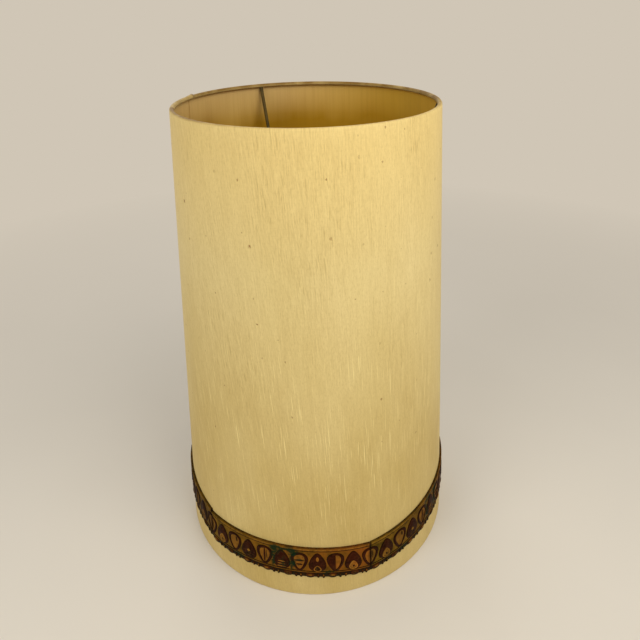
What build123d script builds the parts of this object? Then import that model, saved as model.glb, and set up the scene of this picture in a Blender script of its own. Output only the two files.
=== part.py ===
from build123d import *
from math import atan2, cos, degrees, hypot, radians, sin
import os

# Table lamp with a tall tapered cloth shade that stands on its own lower rim.
# Millimetres, +Z up, origin on the table at the centre of the lower rim, front towards -Y.
# Azimuths are in degrees from +X, anticlockwise seen from above.

# Shade
shade_height = 600.0
bottom_diameter = 400.0
top_diameter = 295.0
cloth_thickness = 0.5
backing_thickness = 0.7
glue_gap = 0.05
ring_wire = 4.0
hem_wrap = 200.0
foot_flat = 0.3
lap_width = 12.0
lap_azimuth = 153.5

# Carrier of the shade
arm_count = 3
arm_wire = 4.2
first_arm_azimuth = 108.8
carrier_height = 280.0
carrier_thickness = 2.0
foot_margin = 0.5

# Trim band of stiff stamped pieces of one length, each a straight strip that arches on the taper.
# Each piece was set by hand: the lift of its middle, its rise towards the end with the larger azimuth, its arch.
# A short piece closes the band beside the lap of the cover.
trim_lifts = (-0.45, 4.5, 6.0, 1.25, -1.5, 10.5)
trim_rises = (-1.75, 9.5, -6.0, 0.5, 0.5, -2.0)
trim_arches = (6.4, 3.5, 3.5, 7.0, 0.2, 10.5)
trim_height = 55.5
trim_middle = 65.0
trim_thickness = 3.4
trim_gap = 0.8
trim_pitch = 69.5
short_trim = 5
first_trim_azimuth = -144.5

# Lampholder
seat_gap = 0.05
running_gap = 0.08
holder_wall = 4.6
holder_clearance = 1.0
holder_thread_depth = 0.8
holder_thread_pitch = 2.5
holder_above_carrier = 22.0
shade_ring_reach = 7.4
shade_ring_height = 8.0
shade_ring_flange = 2.5
shade_ring_collar = 3.0
grip_count = 36
grip_radius = 0.9
cap_clearance = 3.0
cap_height = 30.0
cap_wall = 2.5
cap_lip = 2.0
neck_length = 8.0
entry_thread_diameter = 9.2
bush_wall = 1.9
bush_flange = 2.0
grub_diameter = 4.0
grub_slot = 0.8
insert_height = 10.0
shoulder = 1.0
terminal_spacing = 16.0
terminal_head = 5.6
terminal_head_height = 2.5
contact_strip = 0.5
contact_width = 6.0
contact_rise = 4.0
shell_wall = 0.4
shell_flange = 3.6
shell_side_gap = 0.6

# Bulb with a 27 mm screw cap
thread_diameter = 25.2
thread_depth = 1.0
thread_pitch = 3.6
thread_clearance = 0.3
bulb_thread_turns = 5
shell_thread_turns = 3
bulb_rest_gap = 0.1
tip_height = 1.0
tip_diameter = 9.0
insulator_height = 4.5
bulb_cap_inset = 2.1
bulb_cap_wall = 0.8
collar_height = 3.5
glass_diameter = 60.0
glass_hollow = 24.5
glass_wall = 0.8
neck_above_cap = 8.0
stem_diameter = 6.0
stem_height = 26.0
lead_diameter = 0.7
lead_spread = 26.0
lead_rise = 16.0
filament_diameter = 0.6
filament_rise = 6.0

# Wall of the shade: the line between the two ring centres and the direction square to it
roll_radius = ring_wire / 2 + glue_gap + cloth_thickness
lower_centre = Vector(bottom_diameter / 2 - roll_radius, roll_radius - foot_flat)
upper_centre = Vector(top_diameter / 2 - roll_radius, shade_height - roll_radius)
wall_length = (upper_centre - lower_centre).length
up_wall = (upper_centre - lower_centre).normalized()
out_of_wall = Vector(up_wall.Y, -up_wall.X)
wall_angle = degrees(atan2(out_of_wall.Y, out_of_wall.X))

# Radii in the lampholder, from the bulb's thread outwards
thread_radius = thread_diameter / 2
shell_radius = thread_radius + thread_clearance
shell_outside = shell_radius + shell_wall
shell_bore = shell_outside + thread_depth / 2 + shell_side_gap
insert_bore = shell_bore + shoulder
insert_radius = insert_bore - seat_gap
holder_radius = insert_bore + holder_wall
ring_bore = holder_radius + running_gap
ring_radius = ring_bore + shade_ring_reach
carrier_bore = holder_radius + holder_clearance
carrier_rim = arm_wire + 2 * foot_margin

# Line of the drop arms, from the upper ring to the rim of the carrier ring
arm_foot = Vector(ring_radius + carrier_rim / 2, carrier_height)
arm_run = arm_foot - upper_centre


def wall_point(distance, offset):
    """Point in radius and height, a distance up from the lower ring and an offset out from the wall line."""
    return lower_centre + up_wall * distance + out_of_wall * offset


def wall_distance(height):
    """Distance up the wall line from the lower ring to a height."""
    return (height - lower_centre.Y) / up_wall.Y


def radial_plane(azimuth):
    """Upright plane through the axis, with local x pointing outwards at the azimuth and local y up."""
    turn = radians(azimuth)
    return Plane(origin=(0, 0, 0), x_dir=(cos(turn), sin(turn), 0), z_dir=(sin(turn), -cos(turn), 0))


def wall_strip(start, end, inner, outer):
    """Outline of a sheet that lies along the wall, between two distances and two offsets."""
    with BuildLine() as outline:
        Polyline(
            wall_point(start, inner),
            wall_point(start, outer),
            wall_point(end, outer),
            wall_point(end, inner),
            close=True,
        )
    return outline.line


def arm_section(number):
    """Plane square to a drop arm at the upper ring, facing down the arm."""
    upright = radial_plane(first_arm_azimuth + number * 360 / arm_count)
    top = upright.from_local_coords(upper_centre)
    foot = upright.from_local_coords(arm_foot)
    return Plane(origin=top, z_dir=foot - top)


def save(piece, name):
    """Label a finished piece and write it to its own file."""
    piece.part.label = name
    export_step(piece.part, f"parts/{name}.step")


os.makedirs("parts", exist_ok=True)

# Wire rings in the two rims
with BuildPart() as upper_ring:
    with BuildSketch(Plane.XZ):
        with Locations(upper_centre):
            Circle(ring_wire / 2)
    revolve(axis=Axis.Z)
save(upper_ring, "upper_ring")

with BuildPart() as lower_ring:
    with BuildSketch(Plane.XZ):
        with Locations(lower_centre):
            Circle(ring_wire / 2)
    revolve(axis=Axis.Z)
save(lower_ring, "lower_ring")

# Cloth cover, rolled over both rings, slit for the arms and pressed flat where it stands
inside_roll = roll_radius - cloth_thickness
with BuildPart() as cloth_cover:
    with BuildSketch(Plane.XZ):
        with BuildLine():
            Line(wall_point(0, roll_radius), wall_point(wall_length, roll_radius))
            upper_outside = CenterArc(upper_centre, roll_radius, wall_angle, hem_wrap)
            upper_inside = CenterArc(upper_centre, inside_roll, wall_angle, hem_wrap)
            Line(upper_outside @ 1, upper_inside @ 1)
            Line(wall_point(0, inside_roll), wall_point(wall_length, inside_roll))
            lower_outside = CenterArc(lower_centre, roll_radius, wall_angle, -hem_wrap)
            lower_inside = CenterArc(lower_centre, inside_roll, wall_angle, -hem_wrap)
            Line(lower_outside @ 1, lower_inside @ 1)
        make_face()
    revolve(axis=Axis.Z)
    split(bisect_by=Plane.XY, keep=Keep.TOP)
    for arm_number in range(arm_count):
        with BuildSketch(arm_section(arm_number)):
            Circle(arm_wire / 2 + seat_gap)
        extrude(amount=2 * roll_radius, mode=Mode.SUBTRACT)
save(cloth_cover, "cloth_cover")

# Stiff backing sheet between the rings, its two ends lapped on the inside
backing_inset = ring_wire / 2 + glue_gap
backing_outer = ring_wire / 2
backing_inner = backing_outer - backing_thickness
lap_angle = degrees(lap_width / upper_centre.X)
with BuildPart() as backing_sheet:
    with BuildSketch(Plane.XZ):
        add(wall_strip(backing_inset, wall_length - backing_inset, backing_inner, backing_outer))
        make_face()
    revolve(axis=Axis.Z)
    with BuildSketch(radial_plane(lap_azimuth - lap_angle / 2)):
        add(wall_strip(backing_inset, wall_length - backing_inset, backing_inner - backing_thickness, backing_inner))
        make_face()
    revolve(axis=Axis.Z, revolution_arc=lap_angle)
save(backing_sheet, "backing_sheet")

# Carrier ring, wide enough for the shade rings and the feet of the arms
with BuildPart() as carrier_ring:
    with BuildSketch(Plane.XY.offset(carrier_height - carrier_thickness)):
        Circle(ring_radius + carrier_rim)
        Circle(carrier_bore, mode=Mode.SUBTRACT)
    extrude(amount=carrier_thickness)
save(carrier_ring, "carrier_ring")

# Drop arms from the upper ring down to the top of the carrier ring
for arm_number in range(arm_count):
    with BuildPart() as drop_arm:
        with BuildSketch(arm_section(arm_number)):
            Circle(arm_wire / 2)
        extrude(amount=arm_run.length + arm_wire)
        split(bisect_by=Plane.XY.offset(carrier_height), keep=Keep.TOP)
        add(upper_ring.part, mode=Mode.SUBTRACT)
    save(drop_arm, f"drop_arm_{arm_number + 1}")

# Trim pieces, cut from the taper by two tilted planes so that they arch like a straight strip
trim_inner = roll_radius + glue_gap
trim_outer = trim_inner + trim_thickness
trim_radius = wall_point(wall_distance(trim_middle), trim_outer).X
trim_steps = [trim_pitch] * len(trim_lifts)
trim_steps[short_trim - 1] = 360 - trim_pitch * (len(trim_lifts) - 1)
steepest = max(abs(rise) for rise in trim_rises)
stock_low = wall_distance(trim_middle - trim_height / 2 - max(trim_arches) - steepest - trim_thickness)
stock_high = wall_distance(trim_middle + trim_height / 2 + max(trim_lifts) + steepest + trim_thickness)


def trim_edge(azimuth, height, arch_slope, rise_slope):
    """Tilted plane along one long edge of a trim piece, from the edge's height in the middle and its slopes."""
    turn = radians(azimuth)
    place = (trim_radius * cos(turn), trim_radius * sin(turn), height)
    across = rise_slope * sin(turn) - arch_slope * cos(turn)
    along = -rise_slope * cos(turn) - arch_slope * sin(turn)
    return Plane(origin=place, z_dir=(across, along, 1))


trim_start = first_trim_azimuth
for trim_number, trim_step in enumerate(trim_steps):
    trim_angle = trim_step - degrees(trim_gap / trim_radius)
    trim_azimuth = trim_start + trim_step / 2
    half_angle = radians(trim_angle / 2)
    arch_slope = trim_arches[trim_number] / (trim_radius * (1 - cos(half_angle)))
    rise_slope = trim_rises[trim_number] / (trim_radius * sin(half_angle))
    trim_top = trim_middle + trim_lifts[trim_number] + trim_height / 2
    upper_edge = trim_edge(trim_azimuth, trim_top, arch_slope, rise_slope)
    lower_edge = trim_edge(trim_azimuth, trim_top - trim_height, arch_slope, rise_slope)
    with BuildPart() as trim:
        with BuildSketch(radial_plane(trim_azimuth - trim_angle / 2)):
            add(wall_strip(stock_low, stock_high, trim_inner, trim_outer))
            make_face()
        revolve(axis=Axis.Z, revolution_arc=trim_angle)
        split(bisect_by=upper_edge, keep=Keep.BOTTOM)
        split(bisect_by=lower_edge, keep=Keep.TOP)
    save(trim, f"trim_piece_{trim_number + 1}")
    trim_start += trim_step

# Heights in the lampholder, from the carrier ring
holder_top = carrier_height + holder_above_carrier
holder_bottom = carrier_height - carrier_thickness - shade_ring_height - cap_clearance
insert_top = holder_bottom + insert_height
cap_bottom = holder_bottom - cap_height
neck_top = cap_bottom + neck_length
tip_bottom = insert_top + contact_rise + bulb_rest_gap

# Holder body, threaded outside for the shade rings, with a shoulder above the insert
thread_turns = int((holder_top - holder_bottom) / holder_thread_pitch) - 1
with BuildPart() as holder_body:
    with BuildSketch(Plane.XZ):
        with BuildLine():
            Polyline(
                (holder_radius, holder_bottom),
                (insert_bore, holder_bottom),
                (insert_bore, insert_top),
                (shell_bore, insert_top),
                (shell_bore, holder_top),
                (holder_radius, holder_top),
                close=True,
            )
        make_face()
        groove_places = [
            (holder_radius, holder_bottom + (turn + 1) * holder_thread_pitch) for turn in range(thread_turns)
        ]
        with Locations(*groove_places):
            RegularPolygon(holder_thread_depth, 4, mode=Mode.SUBTRACT)
    revolve(axis=Axis.Z)
save(holder_body, "holder_body")

# Shade rings with a gripped flange, one above and one below the carrier ring
collar_radius = ring_bore + shade_ring_collar


def shade_ring(seat_height, rise):
    """Shade ring whose flange seats at a height, with its collar rising (1) or hanging (-1) from the flange."""
    with BuildPart() as ring:
        with BuildSketch(Plane.XY.offset(seat_height)):
            Circle(ring_radius)
            with PolarLocations(ring_radius, grip_count):
                Circle(grip_radius, mode=Mode.SUBTRACT)
        extrude(amount=rise * shade_ring_flange)
        with BuildSketch(Plane.XY.offset(seat_height)):
            Circle(collar_radius)
        extrude(amount=rise * shade_ring_height)
        with BuildSketch(Plane.XY.offset(seat_height)):
            Circle(ring_bore)
        extrude(amount=rise * shade_ring_height, mode=Mode.SUBTRACT)
    return ring


save(shade_ring(carrier_height, 1), "upper_shade_ring")
save(shade_ring(carrier_height - carrier_thickness, -1), "lower_shade_ring")

# Holder cap, a hollow dome with a lip that carries the insert and a neck for the entry bush
bore_radius = entry_thread_diameter / 2
bush_radius = bore_radius + bush_wall
neck_bore = bush_radius + seat_gap
neck_radius = neck_bore + cap_wall
flange_radius = neck_bore + bush_wall
lip_bore = insert_radius - shoulder
dome_start = neck_top + (holder_bottom - neck_top) / 2
grub_height = cap_bottom + neck_length / 2
with BuildPart() as holder_cap:
    with BuildSketch(Plane.XZ):
        with BuildLine():
            Polyline(
                (lip_bore, holder_bottom),
                (holder_radius, holder_bottom),
                (holder_radius, dome_start),
                (neck_radius, neck_top),
                (neck_radius, cap_bottom),
                (neck_bore, cap_bottom),
                (neck_bore, neck_top + cap_wall),
                (flange_radius + seat_gap, neck_top + cap_wall),
                (holder_radius - cap_wall, dome_start + cap_wall),
                (holder_radius - cap_wall, holder_bottom - cap_lip),
                (lip_bore, holder_bottom - cap_lip),
                close=True,
            )
        make_face()
    revolve(axis=Axis.Z)
    with BuildSketch(Plane.YZ):
        with Locations((0, grub_height)):
            Circle(grub_diameter / 2 + seat_gap)
    extrude(amount=neck_radius, mode=Mode.SUBTRACT)
save(holder_cap, "holder_cap")

# Entry bush with the thread for a stem, its flange on the floor of the cap
with BuildPart() as entry_bush:
    with BuildSketch(Plane.XZ):
        with BuildLine():
            Polyline(
                (bore_radius, cap_bottom),
                (bush_radius, cap_bottom),
                (bush_radius, neck_top + cap_wall),
                (flange_radius, neck_top + cap_wall),
                (flange_radius, neck_top + cap_wall + bush_flange),
                (bore_radius, neck_top + cap_wall + bush_flange),
                close=True,
            )
        make_face()
    revolve(axis=Axis.Z)
    with BuildSketch(Plane.YZ):
        with Locations((0, grub_height)):
            Circle(grub_diameter / 2 + seat_gap)
    extrude(amount=neck_radius, mode=Mode.SUBTRACT)
save(entry_bush, "entry_bush")

# Grub screw through the neck and the bush, short of the bore
with BuildPart() as grub_screw:
    with BuildSketch(Plane.YZ.offset(bore_radius + seat_gap)):
        with Locations((0, grub_height)):
            Circle(grub_diameter / 2)
    extrude(amount=neck_radius - bore_radius - seat_gap)
    with BuildSketch(Plane.YZ.offset(neck_radius)):
        with Locations((0, grub_height)):
            Rectangle(grub_diameter, grub_slot)
    extrude(amount=-grub_slot, mode=Mode.SUBTRACT)
save(grub_screw, "grub_screw")

# Porcelain insert
with BuildPart() as holder_insert:
    with BuildSketch(Plane.XY.offset(holder_bottom)):
        Circle(insert_radius)
    extrude(amount=insert_height)
save(holder_insert, "holder_insert")

# Terminal screws under the insert
with BuildPart() as terminal_screws:
    with BuildSketch(Plane.XY.offset(holder_bottom)):
        with GridLocations(terminal_spacing, 1, 2, 1):
            Circle(terminal_head / 2)
    extrude(amount=-terminal_head_height)
    with BuildSketch(Plane.XY.offset(holder_bottom - terminal_head_height)):
        with GridLocations(terminal_spacing, 1, 2, 1):
            Rectangle(grub_slot, terminal_head)
    extrude(amount=grub_slot, mode=Mode.SUBTRACT)
save(terminal_screws, "terminal_screws")

# Rounded thread of the bulb cap and of the shell around it
thread_start = tip_bottom + tip_height + insulator_height


def rounded_thread(radius, start, turns):
    """Outline of a rounded thread as a chain of crests and roots, up from a start height."""
    half = thread_pitch / 2
    with BuildLine() as wave:
        for step in range(2 * turns):
            low = start + step * half
            reach = radius + (thread_depth / 2 if step % 2 == 0 else -thread_depth / 2)
            ThreePointArc((radius, low), (reach, low + half / 2), (radius, low + half))
    return wave.line


# Threaded shell that stands on the insert
shell_thread_end = thread_start + shell_thread_turns * thread_pitch
shell_top = holder_top - seat_gap
with BuildPart() as thread_shell:
    with BuildSketch(Plane.XZ):
        with BuildLine():
            add(rounded_thread(shell_radius, thread_start, shell_thread_turns))
            add(rounded_thread(shell_outside, thread_start, shell_thread_turns))
            Polyline(
                (shell_radius, thread_start),
                (shell_radius, insert_top + shell_wall),
                (shell_outside - shell_flange, insert_top + shell_wall),
                (shell_outside - shell_flange, insert_top),
                (shell_outside, insert_top),
                (shell_outside, thread_start),
            )
            Polyline(
                (shell_radius, shell_thread_end),
                (shell_radius + thread_depth / 2, shell_thread_end + thread_depth / 2),
                (shell_radius + thread_depth / 2, shell_top),
                (shell_outside + thread_depth / 2, shell_top),
                (shell_outside + thread_depth / 2, shell_thread_end + thread_depth / 2),
                (shell_outside, shell_thread_end),
            )
        make_face()
    revolve(axis=Axis.Z)
save(thread_shell, "thread_shell")

# Sprung centre contact, a bent strip on the insert
contact_reach = shell_outside - shell_flange - seat_gap
contact_foot = contact_reach / 2
contact_top = insert_top + contact_rise
with BuildPart() as centre_contact:
    with BuildSketch(Plane.XZ.offset(-contact_width / 2)):
        with BuildLine():
            Polyline(
                (-contact_reach + contact_strip, insert_top),
                (-contact_foot, insert_top),
                (-contact_strip, contact_top - contact_strip),
                (contact_foot, contact_top - contact_strip),
                (contact_foot, contact_top),
                (-contact_strip, contact_top),
                (-contact_foot, insert_top + contact_strip),
                (-contact_reach + contact_strip, insert_top + contact_strip),
                close=True,
            )
        make_face()
    extrude(amount=contact_width)
save(centre_contact, "centre_contact")

# Bulb: tip contact, insulator and screw cap
tip_top = tip_bottom + tip_height
cap_low_radius = thread_radius - bulb_cap_inset
thread_end = thread_start + bulb_thread_turns * thread_pitch
collar_radius_outer = thread_radius + bulb_cap_wall
collar_top = thread_end + collar_height
with BuildPart() as bulb_contact:
    with BuildSketch(Plane.XY.offset(tip_bottom)):
        Circle(tip_diameter / 2)
    extrude(amount=tip_height)
    chamfer(bulb_contact.edges().group_by(Axis.Z)[0], tip_height / 2)
save(bulb_contact, "bulb_contact")

with BuildPart() as bulb_insulator:
    with BuildSketch(Plane.XZ):
        with BuildLine():
            Polyline(
                (0, tip_top),
                (tip_diameter / 2 + tip_height, tip_top),
                (cap_low_radius - seat_gap, thread_start - tip_height),
                (cap_low_radius - seat_gap, thread_start + tip_height),
                (0, thread_start + tip_height),
                close=True,
            )
        make_face()
    revolve(axis=Axis.Z)
save(bulb_insulator, "bulb_insulator")

with BuildPart() as bulb_cap:
    with BuildSketch(Plane.XZ):
        with BuildLine():
            add(rounded_thread(thread_radius, thread_start, bulb_thread_turns))
            Polyline(
                (thread_radius, thread_end),
                (collar_radius_outer, thread_end + bulb_cap_wall),
                (collar_radius_outer, collar_top),
                (thread_radius, collar_top),
                (thread_radius, thread_end + bulb_cap_wall),
                (cap_low_radius, thread_end - thread_pitch),
                (cap_low_radius, thread_start - tip_height),
                (thread_radius, thread_start),
            )
        make_face()
    revolve(axis=Axis.Z)
save(bulb_cap, "bulb_cap")

# Glass: a straight neck, a hollow arc and a round top that meet in tangents
glass_radius = glass_diameter / 2
neck_glass = thread_radius - seat_gap
neck_low = thread_end + 2 * bulb_cap_wall
neck_high = collar_top + neck_above_cap
hollow_centre = Vector(neck_glass + glass_hollow, neck_high)
ball_centre = Vector(0, neck_high + ((glass_radius + glass_hollow) ** 2 - hollow_centre.X**2) ** 0.5)


def glass_body(inset):
    """Solid inside the glass outline moved in by an inset."""
    ball = glass_radius - inset
    towards = hollow_centre - ball_centre
    meet_angle = degrees(atan2(towards.Y, towards.X))
    with BuildPart() as body:
        with BuildSketch(Plane.XZ):
            with BuildLine():
                CenterArc(ball_centre, ball, meet_angle, 90 - meet_angle)
                CenterArc(hollow_centre, glass_hollow + inset, 180, meet_angle)
                Polyline(
                    (neck_glass - inset, neck_high),
                    (neck_glass - inset, neck_low),
                    (0, neck_low),
                    (0, ball_centre.Y + ball),
                )
            make_face()
        revolve(axis=Axis.Z)
    return body.part


with BuildPart() as bulb_glass:
    add(glass_body(0))
    add(glass_body(glass_wall), mode=Mode.SUBTRACT)
save(bulb_glass, "bulb_glass")

# Glass stem in the neck, with the lead wires and the filament on it
stem_radius = stem_diameter / 2
stem_top = neck_low + stem_height
with BuildPart() as bulb_stem:
    with BuildSketch(Plane.XZ):
        with BuildLine():
            Polyline(
                (0, neck_low),
                (neck_glass - glass_wall - seat_gap, neck_low),
                (stem_radius, neck_low + stem_height / 3),
                (stem_radius, stem_top),
                (0, stem_top),
                close=True,
            )
        make_face()
    revolve(axis=Axis.Z)
save(bulb_stem, "bulb_stem")

lead_foot = stem_radius - lead_diameter
lead_top = stem_top + lead_rise
lead_lean = degrees(atan2(lead_spread / 2 - lead_foot, lead_rise))
lead_length = hypot(lead_spread / 2 - lead_foot, lead_rise)
with BuildPart() as lead_wires:
    for side in (-1, 1):
        lean = Vector(side * sin(radians(lead_lean)), 0, cos(radians(lead_lean)))
        with BuildSketch(Plane(origin=(side * lead_foot, 0, stem_top - lead_diameter), z_dir=lean)):
            Circle(lead_diameter / 2)
        extrude(amount=lead_length)
    add(bulb_stem.part, mode=Mode.SUBTRACT)
save(lead_wires, "lead_wires")

filament_half = lead_spread / 2
filament_radius = (filament_half**2 + filament_rise**2) / (2 * filament_rise)
with BuildPart() as filament:
    with BuildLine(Plane.XZ) as filament_path:
        RadiusArc((-filament_half, lead_top), (filament_half, lead_top), filament_radius)
    with BuildSketch(Plane(origin=filament_path.line @ 0, z_dir=filament_path.line % 0)):
        Circle(filament_diameter / 2)
    sweep()
save(filament, "filament")
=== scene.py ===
"""Dresses a tall cone lampshade: slub silk cover, pressed trim, wire frame, lampholder and bulb."""

import logging
import math
import random
from dataclasses import dataclass
from enum import Enum
from typing import Any, Sequence

import bmesh
import bpy
from mathutils import Matrix, Vector, noise


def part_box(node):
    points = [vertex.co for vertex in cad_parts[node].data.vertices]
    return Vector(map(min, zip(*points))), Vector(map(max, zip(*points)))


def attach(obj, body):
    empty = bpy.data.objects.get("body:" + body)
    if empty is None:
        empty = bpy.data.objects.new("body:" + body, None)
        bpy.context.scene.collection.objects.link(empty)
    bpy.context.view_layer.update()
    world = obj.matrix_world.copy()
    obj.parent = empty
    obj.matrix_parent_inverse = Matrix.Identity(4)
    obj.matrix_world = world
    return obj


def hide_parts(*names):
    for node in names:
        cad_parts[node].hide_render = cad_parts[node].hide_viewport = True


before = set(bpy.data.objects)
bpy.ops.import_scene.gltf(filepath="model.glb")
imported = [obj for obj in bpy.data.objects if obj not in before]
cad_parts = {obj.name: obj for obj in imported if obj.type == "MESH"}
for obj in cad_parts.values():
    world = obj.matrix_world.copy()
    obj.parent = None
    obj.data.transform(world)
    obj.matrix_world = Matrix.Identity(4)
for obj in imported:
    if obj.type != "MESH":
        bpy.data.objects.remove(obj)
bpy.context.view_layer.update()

LOG = logging.getLogger("shade")
MM = 0.001

Colour = tuple[float, float, float]
Socket = bpy.types.NodeSocket
Finish = bpy.types.Material
Piece = bpy.types.Object
EditMesh = bmesh.types.BMesh


def tint(red: int, green: int, blue: int) -> Colour:
    """Turns a screen colour into the linear colour that a shader takes.

    Args:
        red: Red, from 0 to 255.
        green: Green, from 0 to 255.
        blue: Blue, from 0 to 255.

    Returns:
        The same colour with linear channels from 0 to 1.
    """

    def linear(level: int) -> float:
        """Gives one channel's linear share."""
        share = level / 255
        return share / 12.92 if share <= 0.04045 else ((share + 0.055) / 1.055) ** 2.4

    return linear(red), linear(green), linear(blue)


def turned(angle: float) -> float:
    """Brings an angle to between minus and plus half a turn."""
    return math.remainder(angle, math.tau)


def clipped(value: float) -> float:
    """Keeps a value between nought and one."""
    return max(0.0, min(1.0, value))


class Place(Enum):
    """Where a pattern takes its coordinates from."""

    OBJECT = "Object"
    PATTERN = "UV"


class NodePen:
    """Draws the node tree of one procedural material, or of the world."""

    def __init__(self, name: str, kind: str = "materials") -> None:
        """Starts a material that has one principled shader, or a world.

        Args:
            name: Name of the material or the world.
            kind: Which of the two, as bpy.data names it.
        """
        self.material = getattr(bpy.data, kind).new(name)
        self.material.use_nodes = True
        self.tree = self.material.node_tree
        self.shader = self.tree.nodes.get("Principled BSDF")

    def feed(self, socket: Socket, value: Any) -> None:
        """Links a socket to an output, or sets it to a constant.

        Args:
            socket: Input to feed.
            value: An output socket, a number, a vector or a colour.
        """
        if isinstance(value, Socket):
            self.tree.links.new(value, socket)
        elif socket.type == "RGBA":
            socket.default_value = (*value, 1.0)
        else:
            socket.default_value = value

    def node(self, kind: str, feeds: dict[Any, Any] | None = None, **settings: Any) -> bpy.types.Node:
        """Adds a node.

        Args:
            kind: Type of the shader node.
            feeds: Its inputs, by name or number, and what feeds each.
            **settings: Properties to set on it first.

        Returns:
            The new node.
        """
        made = self.tree.nodes.new(f"ShaderNode{kind}")
        for key, value in settings.items():
            setattr(made, key, value)
        for key, value in (feeds or {}).items():
            self.feed(made.inputs[key], value)
        return made

    def surface(self, **inputs: Any) -> None:
        """Feeds inputs of the principled shader, named with underscores for spaces.

        Args:
            **inputs: Input names and what feeds them.
        """
        for key, value in inputs.items():
            words = key.replace("_", " ")
            self.feed(next(s for s in self.shader.inputs if s.name.lower() == words), value)

    def coords(self, place: Place, scale: Sequence[float], turn: float = 0.0) -> Socket:
        """Gives coordinates, scaled along each axis and then turned.

        Args:
            place: Where the coordinates come from.
            scale: Repeats per metre along each axis.
            turn: Turn about the third axis, in radians, which keeps a drawn-out noise from lying in rows.

        Returns:
            The scaled and turned vector.
        """
        where = self.node("TexCoord").outputs[place.value]
        feeds = {"Vector": where, "Scale": scale, "Rotation": (0.0, 0.0, turn)}
        return self.node("Mapping", feeds).outputs["Vector"]

    def vector(self, operation: str, *values: Any) -> Socket:
        """Joins vectors by the named operation."""
        return self.node("VectorMath", dict(enumerate(values)), operation=operation).outputs[0]

    def round_coords(self, reach: float, rise: float) -> Socket:
        """Gives coordinates that follow a cone about the Z axis with no seam.

        Args:
            reach: Scale of the direction round the axis.
            rise: Repeats per metre of height.

        Returns:
            A vector of the direction round the axis and the height.
        """
        spot = self.node("TexCoord").outputs["Object"]
        heading = self.vector("NORMALIZE", self.vector("MULTIPLY", spot, (1.0, 1.0, 0.0)))
        wide = self.vector("MULTIPLY", heading, (reach,) * 3)
        return self.vector("MULTIPLY_ADD", spot, (0.0, 0.0, rise), wide)

    def noise(self, vector: Socket, detail: float = 2.0, rough: float = 0.5) -> Socket:
        """Gives soft noise about one half, at a scale of one.

        Args:
            vector: Scaled coordinates.
            detail: Octaves of finer noise.
            rough: Weight of the finer octaves.

        Returns:
            The noise.
        """
        feeds = {"Vector": vector, "Scale": 1.0, "Detail": detail, "Roughness": rough}
        return self.node("TexNoise", feeds).outputs[0]

    def speck(self, repeats: float, detail: float = 2.0, rough: float = 0.5) -> Socket:
        """Gives noise in space, with so many repeats per metre."""
        return self.noise(self.coords(Place.OBJECT, (repeats,) * 3), detail, rough)

    def weave(self, scale: Sequence[float], detail: float, rough: float, turn: float = 0.0) -> Socket:
        """Gives noise on the piece's flat pattern, with its coordinates scaled and turned."""
        return self.noise(self.coords(Place.PATTERN, scale, turn), detail, rough)

    def span(self, value: Socket, low: float, high: float, start: float = 0.0, end: float = 1.0) -> Socket:
        """Maps a value from one range to another and clamps it.

        Args:
            value: The value to map.
            low: Value that gives start.
            high: Value that gives end.
            start: Result at low.
            end: Result at high.

        Returns:
            The mapped value.
        """
        feeds = {"Value": value, "From Min": low, "From Max": high, "To Min": start, "To Max": end}
        return self.node("MapRange", feeds).outputs[0]

    def sum(self, operation: str, first: Any, second: Any) -> Socket:
        """Joins two values by the named operation."""
        return self.node("Math", {0: first, 1: second}, operation=operation).outputs[0]

    def times(self, value: Socket, *others: Any) -> Socket:
        """Multiplies a value by others, one by one."""
        for other in others:
            value = self.sum("MULTIPLY", value, other)
        return value

    def blend(self, share: Socket, first: Any, second: Any) -> Socket:
        """Blends two colours, by the share of the second."""
        return self.node("Mix", {0: share, 6: first, 7: second}, data_type="RGBA").outputs[2]

    def lay(self, tone: Socket, *layers: tuple[Socket, Any]) -> Socket:
        """Lays colours over a tone, each by its share."""
        for share, colour in layers:
            tone = self.blend(share, tone, colour)
        return tone

    def attribute(self, name: str) -> Socket:
        """Gives a number that is stored on the mesh under that name."""
        return self.node("Attribute", attribute_name=name).outputs["Fac"]

    def along(self, axis: str) -> Socket:
        """Gives the place along the X, Y or Z axis, in metres."""
        spot = self.node("TexCoord").outputs["Object"]
        return self.node("SeparateXYZ", {0: spot}).outputs[axis]

    def bump(self, height: Socket, depth: float, strength: float) -> None:
        """Gives the shader a bumpy normal, where a height of one stands for depth in metres."""
        made = self.node("Bump", {"Strength": strength, "Distance": depth, "Height": height})
        self.feed(self.shader.inputs["Normal"], made.outputs[0])


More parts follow.
